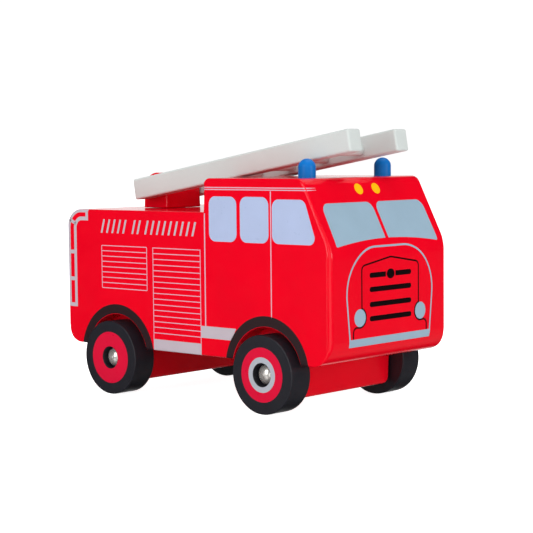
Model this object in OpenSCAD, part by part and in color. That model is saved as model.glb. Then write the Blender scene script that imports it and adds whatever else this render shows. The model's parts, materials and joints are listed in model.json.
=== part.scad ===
// Wooden toy fire engine: laminated body, four wheels on fixed axles, and a ladder that turns on a
// turret post and pitches up. The vehicle faces +X, +Y is its left side, and z = 0 is the ground.
// The origin is on the ground, under the middle of the body.

/* [Body] */
// Length of the body, from the rear face to the front face
body_l = 222.4; // [210:0.2:240]
// Width of the body over both side boards
body_w = 109.2; // [104:0.2:114]
// Thickness of each side board, which is also the depth of a wheel arch
cheek_t = 12; // [10.5:0.5:13]
// Height of the underside of the body above the ground
body_bottom_z = 29.9; // [29:0.1:32]
// Height of the rear deck above the ground
deck_z = 115.8; // [112:0.1:120]
// Length of the cab, from its rear wall to the front face
cab_l = 98.9; // [90:0.1:104]
// Height of the cab above the rear deck
cab_rise = 20.3; // [16:0.1:22]
// Height from the roof down to the crease below the windscreen
screen_drop = 40; // [34:0.5:46]
// How far the top of the windscreen leans back from the front face
screen_lean = 20.6; // [16:0.2:24]

/* [Rounded corners, seen from the side] */
// Radius at the bottom of the front face
nose_r = 14.5; // [8:0.5:16]
// Radius at the bottom of the rear face
tail_low_r = 12; // [6:0.5:14]
// Radius at the top of the rear face
tail_top_r = 12.5; // [6:0.5:14]
// Radius at the top of the cab's rear wall
cab_rear_r = 4.5; // [3:0.5:8]
// Radius where the roof meets the windscreen
roof_front_r = 7; // [3:0.5:10]
// Radius of the crease below the windscreen
crease_r = 25; // [15:1:35]

/* [Hollow core] */
// Wall left in front of, behind and above the hollow in the core boards
core_wall = 14; // [13:0.5:18]
// Height of the floor of the hollow above the ground
hollow_floor_z = 58; // [56:1:70]
// Corner radius of the hollow
hollow_r = 8; // [4:1:12]

/* [Wheels] */
// Diameter of a wheel
wheel_d = 46.2; // [44:0.2:48]
// Width of a wheel
wheel_w = 16.2; // [14:0.1:17]
// Distance from the front face of the body back to the front axle
front_overhang = 47.5; // [44:0.1:54]
// Distance from the rear face of the body forward to the rear axle
rear_overhang = 45.8; // [42:0.1:54]
// Edge radius of a wheel
wheel_edge_r = 0.6; // [0.4:0.2:2.4]
// Diameter of the recess in a wheel's outer face
hub_d = 13.4; // [12.6:0.2:15]
// Depth of that recess
hub_depth = 5; // [4.6:0.2:6]
// Radius of a wheel arch
arch_r = 27.1; // [26:0.1:30]
// How far the middle of a wheel arch lies inboard of its axle
arch_inset = 1.2; // [0:0.1:1.6]

/* [Axles] */
// Diameter of an axle rod
axle_d = 5; // [4:0.5:5]
// Gap all round between an axle and its wheel
wheel_gap = 0.06; // [0.03:0.01:0.1]
// Diameter of a domed axle cap
cap_d = 11.4; // [9:0.2:11.8]
// Length of an axle block along the vehicle
block_l = 26; // [25:0.5:32]
// Height of the underside of an axle block above the ground
block_bottom_z = 8.2; // [6:0.1:12]
// Radius at the lower corners of an axle block, seen from the front
block_end_r = 4.5; // [1:0.5:6]
// Distance from a screw in an axle block to the axle, along the vehicle
screw_offset = 8; // [7:0.5:9]

/* [Turret] */
// Distance from the rear face of the body to the turret's turning axis
turret_from_rear = 42.55; // [36:0.05:50]
// Length of the turret post along the vehicle, which sets its rounded top
post_l = 21.5; // [19:0.1:24]
// Width of the turret post across the vehicle
post_w = 30.8; // [26:0.2:31]
// Height of the ladder's pivot above the rear deck
pivot_rise = 12.1; // [12.1:0.1:16]
// Radius on the post's upright edges
post_edge_r = 2; // [1:0.2:4]

/* [Ladder] */
// Length of a rail
rail_l = 181.7; // [150:0.1:182]
// Thickness of a rail
rail_t = 11.5; // [10:0.1:11.6]
// Height of a rail
rail_h = 13.2; // [12:0.1:15]
// Gap between the rails
rail_gap = 32.1; // [31.6:0.1:33]
// Height of the line of holes above a rail's lower edge
hole_line = 5.5; // [5:0.1:6]
// Distance from a rail's rear end to the pivot
rail_tail = 7.4; // [6:0.05:8]
// Slope of the lowered ladder, in degrees
ladder_slope = 9.5; // [9.5:0.1:12]
// Diameter of the rungs and of the pivot bar
rung_d = 7; // [6:0.5:8]
// Distance between rungs
rung_pitch = 27.5; // [26:0.1:29]
// Number of rungs
rung_count = 5; // [5:1:5]
// Distance from the pivot to the first rung
first_rung = 36.2; // [30:0.1:37]

/* [Roof lights] */
// Diameter of a roof light
light_d = 10.3; // [9:0.1:10.4]
// Height of a roof light above the roof
light_h = 11.2; // [9:0.1:11.2]
// Distance from the front face of the body back to a roof light
light_from_front = 33.2; // [31:0.1:40]
// Distance from the middle plane to a roof light
light_y = 35.2; // [35:0.1:36]
// Depth of the hole that a roof light stands in
light_seat = 13; // [8:1:15]

/* [Hidden] */
$fn = 96;

// A cut runs past the surface it opens by this much
over = 1;
// Gap between faces that turn against each other
turn_gap = 0.05;

front_x = body_l / 2;
rear_x = -body_l / 2;
roof_z = deck_z + cab_rise;
crease_z = roof_z - screen_drop;
cab_rear_x = front_x - cab_l;
core_w = body_w - 2 * cheek_t;
core_board_w = core_w / 3;

axle_z = wheel_d / 2;
front_axle_x = front_x - front_overhang;
rear_axle_x = rear_x + rear_overhang;
arch_xs = [front_axle_x - arch_inset, rear_axle_x + arch_inset];

washer_t = 1;
washer_d = 13;
washer_play = 0.2;
wheel_inner_y = core_w / 2 + washer_t + washer_play;
hub_floor_y = wheel_inner_y + wheel_w - hub_depth;
cap_base_y = hub_floor_y + 0.1;
cap_skirt = 1;
cap_dome = 3.1;
cap_bore = 3.1;
axle_end_y = cap_base_y + cap_bore - 0.2;

block_edge_r = 2;
screw_y = core_w / 3;
screw_d = 3.6;
screw_head_d = 7.4;
screw_head_h = 2;
screw_tip_z = 48;

turret_x = rear_x + turret_from_rear;
pivot_z = deck_z + pivot_rise;
slip_washer_t = 0.8;
slip_washer_d = 17;
washer_recess_d = slip_washer_d + 0.6;
washer_recess_z = deck_z + slip_washer_t + turn_gap;
foot_gap = 0.15;
post_bottom_z = deck_z + foot_gap;
post_floor_z = deck_z + 4.2;
turret_washer_t = 0.8;
turret_washer_d = 11;
shoulder_d = 5;
thread_d = 3.8;
thread_l = 12;
pan_head_d = 9.2;
pan_head_h = 2.6;
head_well_d = 12;

rung_sink = 6.5;
rung_l = rail_gap + 2 * rung_sink;
rail_edge_r = 1.4;

// Geometry of a rounded outline: where the rounding of corner p starts on the edge towards q
function unit(v) = v / norm(v);
function half_angle(a, p, b) = acos(unit(a - p) * unit(b - p)) / 2;
function tangent_point(p, q, r, half) = p + unit(q - p) * r / tan(half);
function corner_centre(a, p, b, half, r) = p + unit(unit(a - p) + unit(b - p)) * r / sin(half);

// An outline with true arcs at its outward corners. A corner of radius 0 stays sharp.
module rounded_outline(points, radii) {
    n = len(points);
    function before(i) = points[(i + n - 1) % n];
    function after(i) = points[(i + 1) % n];
    polygon([
        for (i = [0 : n - 1])
            let (half = half_angle(before(i), points[i], after(i)))
                for (q = radii[i] > 0 ? [before(i), after(i)] : [points[i]])
                    radii[i] > 0 ? tangent_point(points[i], q, radii[i], half) : q
    ]);
    for (i = [0 : n - 1])
        if (radii[i] > 0)
            let (half = half_angle(before(i), points[i], after(i)))
                translate(corner_centre(before(i), points[i], after(i), half, radii[i]))
                    circle(radii[i]);
}

module rounded_rectangle(low, high, r) {
    rounded_outline([low, [high.x, low.y], high, [low.x, high.y]], [r, r, r, r]);
}

// Stands a side-view outline, drawn in x and z, upright from y = y_low over a width
module side_extrude(y_low, width) {
    translate([0, y_low + width, 0])
        rotate([90, 0, 0])
            linear_extrude(width)
                children();
}

// Lays a cylinder along y, between two values of y
module cross_bar(x, z, y_low, y_high, d) {
    translate([x, y_high, z])
        rotate([90, 0, 0])
            cylinder(d = d, h = y_high - y_low);
}

module body_outline() {
    rounded_outline(
        [
            [rear_x, body_bottom_z],
            [front_x, body_bottom_z],
            [front_x, crease_z],
            [front_x - screen_lean, roof_z],
            [cab_rear_x, roof_z],
            [cab_rear_x, deck_z],
            [rear_x, deck_z]
        ],
        [tail_low_r, nose_r, crease_r, roof_front_r, cab_rear_r, 0, tail_top_r]
    );
}

// The hollow in the core boards, low under the deck and higher under the cab roof
module hollow_outline() {
    hollow_front_x = front_x - core_wall - hollow_r / 2;
    rounded_rectangle([rear_x + core_wall, hollow_floor_z], [hollow_front_x, deck_z - core_wall], hollow_r);
    rounded_rectangle(
        [cab_rear_x + core_wall, hollow_floor_z],
        [hollow_front_x - hollow_r, roof_z - light_seat - core_wall / 3],
        hollow_r
    );
}

// side is 1 for the vehicle's left, -1 for its right
module cheek(side) {
    y_low = side > 0 ? core_w / 2 : -body_w / 2;
    color("crimson")
        difference() {
            side_extrude(y_low, cheek_t) body_outline();
            for (x = arch_xs)
                cross_bar(x, axle_z, y_low - over, y_low + cheek_t + over, 2 * arch_r);
        }
}

module core_board(y_low) {
    difference() {
        side_extrude(y_low, core_board_w) body_outline();
        side_extrude(y_low - over, core_board_w + 2 * over) hollow_outline();
    }
}

// A core board beside the middle one, drilled for a roof light and for a screw from each axle block
module outer_core_board(side) {
    color("firebrick")
        difference() {
            core_board(side > 0 ? core_board_w / 2 : -core_w / 2);
            translate([front_x - light_from_front, side * light_y, roof_z - light_seat])
                cylinder(d = light_d, h = light_seat + over);
            for (x = [front_axle_x, rear_axle_x])
                translate([x + side * screw_offset, side * screw_y, body_bottom_z - over])
                    cylinder(d = screw_d, h = screw_tip_z - body_bottom_z + over);
        }
}

module core_centre_board() {
    color("firebrick")
        difference() {
            core_board(-core_board_w / 2);
            translate([turret_x, 0, deck_z - thread_l])
                cylinder(d = thread_d, h = thread_l + over);
        }
}

// An axle block seen square on, with rounded lower corners
module block_outline(low, high, r) {
    rounded_outline(
        [[low, block_bottom_z], [high, block_bottom_z], [high, body_bottom_z], [low, body_bottom_z]],
        [r, r, 0, 0]
    );
}

module axle_block(x) {
    color("red")
        difference() {
            intersection() {
                side_extrude(-core_w / 2, core_w)
                    block_outline(x - block_l / 2, x + block_l / 2, block_edge_r);
                translate([x - block_l / 2, 0, 0])
                    rotate([90, 0, 90])
                        linear_extrude(block_l)
                            block_outline(-core_w / 2, core_w / 2, block_end_r);
            }
            cross_bar(x, axle_z, -core_w / 2 - over, core_w / 2 + over, axle_d);
            for (side = [-1, 1])
                translate([x + side * screw_offset, side * screw_y, block_bottom_z])
                    block_screw_shape(over);
        }
}

// A countersunk screw, head down at z = 0. extra lengthens both ends to cut its hole.
module block_screw_shape(extra) {
    tip = screw_tip_z - block_bottom_z;
    translate([0, 0, -extra]) cylinder(d = screw_head_d, h = 0.6 + extra);
    translate([0, 0, 0.6]) cylinder(d1 = screw_head_d, d2 = screw_d, h = screw_head_h);
    cylinder(d = screw_d, h = tip + extra);
}

module block_screws(x) {
    color("silver")
        for (side = [-1, 1])
            translate([x + side * screw_offset, side * screw_y, block_bottom_z])
                difference() {
                    block_screw_shape(0);
                    for (turn = [0, 90])
                        rotate([0, 0, turn])
                            translate([-2, -0.4, -over])
                                cube([4, 0.8, over + 1.2]);
                }
}

module axle(x) {
    color("lightgray")
        cross_bar(x, axle_z, -axle_end_y, axle_end_y, axle_d);
}

// Turns an outline drawn as [radius, distance outwards] about an axle and points it out of one side
module on_axle(x, side) {
    translate([x, 0, axle_z])
        rotate([side > 0 ? -90 : 90, 0, 0])
            rotate_extrude()
                children();
}

module axle_washers() {
    color("silver")
        for (x = [front_axle_x, rear_axle_x], side = [-1, 1])
            on_axle(x, side)
                translate([axle_d / 2, core_w / 2])
                    square([(washer_d - axle_d) / 2, washer_t]);
}

module wheel(x, side) {
    bore_r = axle_d / 2 + wheel_gap;
    color("dimgray")
        on_axle(x, side)
            difference() {
                rounded_outline(
                    [
                        [bore_r, wheel_inner_y],
                        [wheel_d / 2, wheel_inner_y],
                        [wheel_d / 2, wheel_inner_y + wheel_w],
                        [bore_r, wheel_inner_y + wheel_w]
                    ],
                    [0, wheel_edge_r, wheel_edge_r, 0]
                );
                translate([0, hub_floor_y])
                    square([hub_d / 2, hub_depth + over]);
            }
}

// A push-on cap: a skirt and a dome of part of a ball, bored from below to grip the axle's end
module axle_cap(x, side) {
    rim_r = cap_d / 2;
    ball_r = (rim_r * rim_r + cap_dome * cap_dome) / (2 * cap_dome);
    color("gainsboro")
        on_axle(x, side)
            translate([0, cap_base_y])
                difference() {
                    union() {
                        square([rim_r, cap_skirt]);
                        intersection() {
                            translate([0, cap_skirt + cap_dome - ball_r]) circle(ball_r);
                            translate([0, cap_skirt]) square([rim_r, cap_dome + over]);
                        }
                    }
                    translate([0, -over]) square([axle_d / 2, cap_bore + over]);
                }
}

module turret_post() {
    color("red")
        difference() {
            intersection() {
                side_extrude(-post_w / 2, post_w) {
                    translate([turret_x - post_l / 2, post_bottom_z])
                        square([post_l, pivot_z - post_bottom_z]);
                    translate([turret_x, pivot_z]) circle(d = post_l);
                }
                translate([turret_x, 0, post_bottom_z - over])
                    linear_extrude(post_l + pivot_rise + over)
                        rounded_rectangle([-post_l / 2, -post_w / 2], [post_l / 2, post_w / 2], post_edge_r);
            }
            translate([turret_x, 0, post_bottom_z - over])
                cylinder(d = shoulder_d + 2 * wheel_gap, h = post_floor_z - post_bottom_z + 2 * over);
            translate([turret_x, 0, post_bottom_z - over])
                cylinder(d = washer_recess_d, h = washer_recess_z - post_bottom_z + over);
            translate([turret_x, 0, post_floor_z])
                cylinder(d = head_well_d, h = pivot_rise + post_l);
            cross_bar(turret_x, pivot_z, -post_w / 2 - over, post_w / 2 + over, rung_d + 2 * turn_gap);
        }
}

// A flat ring about the turret's axis
module turret_ring(z, thickness, outer_d, inner_d) {
    translate([turret_x, 0, z])
        difference() {
            cylinder(d = outer_d, h = thickness);
            translate([0, 0, -over]) cylinder(d = inner_d, h = thickness + 2 * over);
        }
}

module turret_washer() {
    color("ivory") turret_ring(deck_z, slip_washer_t, slip_washer_d, shoulder_d + 2 * wheel_gap);
}

module turret_screw_washer() {
    color("silver")
        turret_ring(post_floor_z + turn_gap, turret_washer_t, turret_washer_d, shoulder_d);
}

module turret_screw() {
    head_z = post_floor_z + turn_gap + turret_washer_t;
    color("silver")
        translate([turret_x, 0, 0])
            difference() {
                union() {
                    translate([0, 0, deck_z - thread_l]) cylinder(d = thread_d, h = thread_l);
                    translate([0, 0, deck_z]) cylinder(d = shoulder_d, h = head_z - deck_z);
                    translate([0, 0, head_z]) cylinder(d = pan_head_d, h = pan_head_h);
                }
                translate([-2, -0.5, head_z + pan_head_h - 1]) cube([4, 1, 2]);
            }
}

// Places children, drawn along a rail with the pivot at the origin, at the slope of the lowered ladder
module on_ladder() {
    translate([turret_x, 0, pivot_z])
        rotate([0, -ladder_slope, 0])
            children();
}

function rung_x(i) = first_rung + (i - 1) * rung_pitch;

module rung(i) {
    color("silver")
        on_ladder() cross_bar(rung_x(i), 0, -rung_l / 2, rung_l / 2, rung_d);
}

module ladder_pivot() {
    color("silver")
        on_ladder() cross_bar(0, 0, -rung_l / 2, rung_l / 2, rung_d);
}

// A rail with blind holes in its inner face for the pivot and the rungs
module rail(side) {
    color("lightgray")
        on_ladder()
            difference() {
                side_extrude(side > 0 ? rail_gap / 2 : -rail_gap / 2 - rail_t, rail_t)
                    rounded_rectangle(
                        [-rail_tail, -hole_line],
                        [rail_l - rail_tail, rail_h - hole_line],
                        rail_edge_r
                    );
                for (x = [0, for (i = [1 : rung_count]) rung_x(i)])
                    cross_bar(x, 0, -rung_l / 2, rung_l / 2, rung_d);
            }
}

module roof_light(side) {
    dome_z = roof_z + light_h - light_d / 2;
    color("royalblue")
        translate([front_x - light_from_front, side * light_y, 0]) {
            translate([0, 0, roof_z - light_seat]) cylinder(d = light_d, h = dome_z - roof_z + light_seat);
            translate([0, 0, dome_z])
                rotate_extrude()
                    intersection() {
                        circle(d = light_d);
                        square(light_d);
                    }
        }
}

cheek(1);  // left_cheek
cheek(-1);  // right_cheek
outer_core_board(1);  // core_left_board
core_centre_board();
outer_core_board(-1);  // core_right_board
axle_block(front_axle_x);  // front_axle_block
axle_block(rear_axle_x);  // rear_axle_block
block_screws(front_axle_x);  // front_block_screws
block_screws(rear_axle_x);  // rear_block_screws
axle(front_axle_x);  // front_axle
axle(rear_axle_x);  // rear_axle
axle_washers();
wheel(front_axle_x, 1);  // front_left_wheel
wheel(front_axle_x, -1);  // front_right_wheel
wheel(rear_axle_x, 1);  // rear_left_wheel
wheel(rear_axle_x, -1);  // rear_right_wheel
axle_cap(front_axle_x, 1);  // front_left_cap
axle_cap(front_axle_x, -1);  // front_right_cap
axle_cap(rear_axle_x, 1);  // rear_left_cap
axle_cap(rear_axle_x, -1);  // rear_right_cap
turret_post();
turret_washer();
turret_screw();
turret_screw_washer();
ladder_pivot();
rail(1);  // left_rail
rail(-1);  // right_rail
rung(1);  // rung_1
rung(2);  // rung_2
rung(3);  // rung_3
rung(4);  // rung_4
rung(5);  // rung_5
roof_light(1);  // left_light
roof_light(-1);  // right_light
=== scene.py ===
import json
import math

import bmesh
import bpy
from mathutils import Matrix, Vector
from mathutils.bvhtree import BVHTree


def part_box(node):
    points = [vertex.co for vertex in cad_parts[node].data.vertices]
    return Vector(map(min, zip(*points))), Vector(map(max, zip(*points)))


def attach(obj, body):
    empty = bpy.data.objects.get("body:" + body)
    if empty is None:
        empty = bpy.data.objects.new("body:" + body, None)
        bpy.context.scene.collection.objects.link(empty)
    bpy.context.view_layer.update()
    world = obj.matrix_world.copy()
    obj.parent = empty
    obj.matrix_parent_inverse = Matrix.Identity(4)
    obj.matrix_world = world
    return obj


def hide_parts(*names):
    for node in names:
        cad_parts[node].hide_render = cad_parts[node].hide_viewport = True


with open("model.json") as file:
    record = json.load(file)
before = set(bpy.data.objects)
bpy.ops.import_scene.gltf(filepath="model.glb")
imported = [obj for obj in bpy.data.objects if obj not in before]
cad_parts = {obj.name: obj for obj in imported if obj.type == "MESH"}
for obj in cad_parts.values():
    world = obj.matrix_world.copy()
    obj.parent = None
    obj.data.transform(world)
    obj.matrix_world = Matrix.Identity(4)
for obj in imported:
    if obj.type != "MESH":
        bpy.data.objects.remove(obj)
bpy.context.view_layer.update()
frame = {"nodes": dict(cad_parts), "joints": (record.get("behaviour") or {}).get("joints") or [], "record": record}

MM = 0.001
SIDES = {"left": 1, "right": -1}
WHEELS = ("front_left", "front_right", "rear_left", "rear_right")


def box_mm(node):
    """Lowest and highest corner of a CAD node, in millimetres."""
    low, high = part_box(node)
    return low / MM, high / MM


def joint_place(name):
    """Where a joint's axis passes, in millimetres."""
    joint = next(j for j in frame["joints"] if j["name"] == name)
    return Vector(joint["pos_m"]) / MM


# ------------ sizes taken from the frame
CHEEK_LOW, CHEEK_HIGH = box_mm("left_cheek")
REAR_X, FRONT_X = CHEEK_LOW.x, CHEEK_HIGH.x
BOTTOM_Z, ROOF_Z = CHEEK_LOW.z, CHEEK_HIGH.z
CORE_HALF, BODY_HALF = CHEEK_LOW.y, CHEEK_HIGH.y
DECK_Z = box_mm("turret_washer")[0].z
FRONT_AXLE = joint_place("front_left_wheel_spin")
REAR_AXLE = joint_place("rear_left_wheel_spin")
PIVOT = joint_place("ladder_raise")

# Sizes of the body's side view that its box doesn't give
CAB_LENGTH = 98.9
SCREEN_DROP = 40.0
SCREEN_LEAN = 20.6
NOSE_R = 14.5
TAIL_LOW_R = 12.0
TAIL_TOP_R = 12.5
CAB_REAR_R = 4.5
ROOF_FRONT_R = 7.0
CREASE_R = 25.0
ARCH_R = 27.1
ARCH_INSET = 1.2
CAB_REAR_X = FRONT_X - CAB_LENGTH
CREASE_Z = ROOF_Z - SCREEN_DROP

# Middles of the wheel arches, a little inboard of the axles
FRONT_ARCH = FRONT_AXLE - Vector((ARCH_INSET, 0, 0))
REAR_ARCH = REAR_AXLE + Vector((ARCH_INSET, 0, 0))

# Rounding of the edges, which the CAD model leaves sharp
BODY_EDGE = 3.0
TOP_EDGE = 1.9
BOTTOM_EDGE = 0.8
ARCH_EDGE = 0.3
BLOCK_EDGE = 1.8
BLOCK_END_R = 4.5
POST_EDGE = 1.8
RAIL_EDGE = 1.3
EDGE_STEPS = 10
ARC_STEP = math.radians(4)

# How steeply an edge faces up before it is a top edge, and down before it starts to be a bottom edge
TOP_FROM = 0.45
BOTTOM_FROM, BOTTOM_FULL = 0.2, 0.8

# Edges that turn by more than this are drawn sharp
SHARP_DEG = 38


# ------------ outlines in the side view
def rounded_corners(corners):
    """Closed outline from (u, v, radius) corners: a list of (point, outward vector), arcs finely stepped.
    The outward vector of a sharp corner is its mitre."""
    count = len(corners)
    points = [Vector(c[:2]) for c in corners]
    area = sum(points[i - 1].cross(points[i]) for i in range(count))
    turn = 1 if area > 0 else -1
    rim = []
    for i, (point, corner) in enumerate(zip(points, corners)):
        before, after = points[i - 1], points[(i + 1) % count]
        into, out = (point - before).normalized(), (after - point).normalized()
        normal_in = Vector((into.y, -into.x)) * turn
        normal_out = Vector((out.y, -out.x)) * turn
        mitre = (normal_in + normal_out) / (1 + normal_in.dot(normal_out))
        radius = corner[2]
        if radius <= 0:
            rim.append((point, mitre))
            continue
        sign = 1 if into.cross(out) * turn > 0 else -1
        angle = math.acos(max(-1.0, min(1.0, into.dot(out))))
        centre = point - mitre * radius * sign
        steps = max(2, math.ceil(angle / ARC_STEP))
        start = math.atan2(normal_in.y, normal_in.x)
        for k in range(steps + 1):
            a = start + turn * sign * angle * k / steps
            normal = Vector((math.cos(a), math.sin(a)))
            rim.append((centre + normal * radius * sign, normal))
    return rim


def body_corners():
    """The body's side view, from the low rear corner round to the high rear corner."""
    return [
        (REAR_X, BOTTOM_Z, TAIL_LOW_R),
        (FRONT_X, BOTTOM_Z, NOSE_R),
        (FRONT_X, CREASE_Z, CREASE_R),
        (FRONT_X - SCREEN_LEAN, ROOF_Z, ROOF_FRONT_R),
        (CAB_REAR_X, ROOF_Z, CAB_REAR_R),
        (CAB_REAR_X, DECK_Z, 0),
        (REAR_X, DECK_Z, TAIL_TOP_R),
    ]


def clamp(value):
    """The nearest value from 0 to 1."""
    return max(0.0, min(1.0, value))


def edge_radius(normal):
    """Rounding of the body's edge where its outline faces a way: full on the upright edges, less on top
    and least underneath."""
    up = clamp(normal.y / TOP_FROM)
    down = clamp((-normal.y - BOTTOM_FROM) / (BOTTOM_FULL - BOTTOM_FROM))
    return BODY_EDGE + (TOP_EDGE - BODY_EDGE) * up + (BOTTOM_EDGE - BODY_EDGE) * down


def arch_rim(middle):
    """One wheel arch as (point, outward vector, edge radius), from its rear foot to its front foot.
    The vector of a foot is its mitre with the body's lower edge."""
    foot = math.asin((BOTTOM_Z - middle.z) / ARCH_R)
    steps = math.ceil((math.pi - 2 * foot) / ARC_STEP) * 2
    rim = []
    for k in range(steps + 1):
        a = math.pi - foot - (math.pi - 2 * foot) * k / steps
        normal = -Vector((math.cos(a), math.sin(a)))
        point = Vector((middle.x, middle.z)) - normal * ARCH_R
        from_foot = ARCH_R * min(a - foot, math.pi - foot - a)
        ease = math.sqrt(clamp(from_foot / (2 * BOTTOM_EDGE)))
        if k in (0, steps):
            down = Vector((0, -1))
            normal = (normal + down) / (1 + normal.dot(down))
        rim.append((point, normal, BOTTOM_EDGE + (ARCH_EDGE - BOTTOM_EDGE) * ease))
    return rim


def cheek_rim():
    """The outline of a side board, with both wheel arches cut into its lower edge."""
    rim = [(point, normal, edge_radius(normal)) for point, normal in rounded_corners(body_corners())]
    last_of_tail = max(i for i, r in enumerate(rim) if r[0].x < 0 and r[0].y < BOTTOM_Z + TAIL_LOW_R / 2)
    arches = arch_rim(REAR_ARCH) + arch_rim(FRONT_ARCH)
    return rim[: last_of_tail + 1] + arches + rim[last_of_tail + 1:]


# ------------ mesh building
def even_normals(piece):
    """Weights a piece's normals by the size of its faces, so that the flat ones shade flat."""
    weighted = piece.modifiers.new("even_normals", "WEIGHTED_NORMAL")
    weighted.keep_sharp = True
    weighted.weight = 60


def make_object(name, vertices, faces, material, sharp_deg=SHARP_DEG):
    """A mesh object from points in millimetres, smooth except at edges sharper than sharp_deg."""
    mesh = bpy.data.meshes.new(name)
    mesh.from_pydata([Vector(v) * MM for v in vertices], [], faces)
    bm = bmesh.new()
    bm.from_mesh(mesh)
    bmesh.ops.recalc_face_normals(bm, faces=bm.faces)
    bm.to_mesh(mesh)
    bm.free()
    mesh.materials.append(material)
    mesh.shade_smooth()
    mesh.set_sharp_from_angle(angle=math.radians(sharp_deg))
    piece = bpy.data.objects.new(name, mesh)
    bpy.context.scene.collection.objects.link(piece)
    even_normals(piece)
    return piece


def finish_piece(piece, body, slot, *nodes):
    """Puts a piece on its body and hides the CAD nodes it stands for. Its slot is not used."""
    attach(piece, body)
    if nodes:
        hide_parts(*nodes)
    return piece


def skin(rings):
    """Faces over a stack of rings with equal counts, with a flat face over each end."""
    count = len(rings[0])
    vertices = [p for ring in rings for p in ring]
    faces = []
    for r in range(len(rings) - 1):
        low, high = r * count, (r + 1) * count
        faces += [(low + i, low + (i + 1) % count, high + (i + 1) % count, high + i) for i in range(count)]
    faces.append(tuple(range(count)))
    faces.append(tuple(range(len(vertices) - count, len(vertices))))
    return vertices, faces


def slab_rings(rim, y_from, y_to, round_from, round_to):
    """Rings across y over a side-view rim of (point, outward vector, edge radius). A true flag rounds the
    edge at that end."""
    outward = 1 if y_to > y_from else -1

    def ring(y_face, facing, k):
        a = math.pi / 2 * k / EDGE_STEPS
        return [
            (
                point.x - normal.x * radius * (1 - math.cos(a)),
                y_face - facing * radius * (1 - math.sin(a)),
                point.y - normal.y * radius * (1 - math.cos(a)),
            )
            for point, normal, radius in rim
        ]

    def end(y_face, facing, rounded):
        if not rounded:
            return [[(point.x, y_face, point.y) for point, _, _ in rim]]
        return [ring(y_face, facing, k) for k in range(EDGE_STEPS + 1)]

    return end(y_from, -outward, round_from)[::-1] + end(y_to, outward, round_to)


def slab(name, rim, y_from, y_to, material, round_from=True, round_to=True, place=None):
    """A board cut to a side-view rim. place, if given, is a matrix that sets it in the frame."""
    vertices, faces = skin(slab_rings(rim, y_from, y_to, round_from, round_to))
    if place is not None:
        vertices = [place @ Vector(v) for v in vertices]
    return make_object(name, vertices, faces, material)


def with_edge(rim, radius):
    """Gives every point of a rounded outline the same edge radius."""
    return [(point, normal, radius) for point, normal in rim]


def lathe(name, profile, centre, axis, material, segments, closed=False, sharp_deg=SHARP_DEG):
    """Turns a profile of (radius, distance along axis) about a line through centre.
    A point of radius 0 closes the end; a closed profile is a ring with a bore."""
    axis = Vector(axis)
    side = axis.orthogonal().normalized()
    up = axis.cross(side)
    vertices, rows = [], []
    for radius, along in profile:
        base = Vector(centre) + axis * along
        if radius <= 0:
            rows.append([len(vertices)] * segments)
            vertices.append(base)
            continue
        rows.append(list(range(len(vertices), len(vertices) + segments)))
        for k in range(segments):
            a = 2 * math.pi * k / segments
            vertices.append(base + (side * math.cos(a) + up * math.sin(a)) * radius)
    faces = []
    for r in range(len(rows) if closed else len(rows) - 1):
        low, high = rows[r], rows[(r + 1) % len(rows)]
        for k in range(segments):
            n = (k + 1) % segments
            corner = dict.fromkeys((low[k], low[n], high[n], high[k]))
            if len(corner) > 2:
                faces.append(tuple(corner))
    return make_object(name, vertices, faces, material, sharp_deg)


def arc(centre, radius, start_deg, end_deg, count):
    """Points along an arc, in count steps."""
    angles = [math.radians(start_deg + (end_deg - start_deg) * k / count) for k in range(count + 1)]
    return [(centre[0] + radius * math.cos(a), centre[1] + radius * math.sin(a)) for a in angles]


# ------------ materials
NOISE_ROUGHNESS = 0.55
COAT_ROUGHNESS = 0.06
PEEL_MM = 0.004


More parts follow.
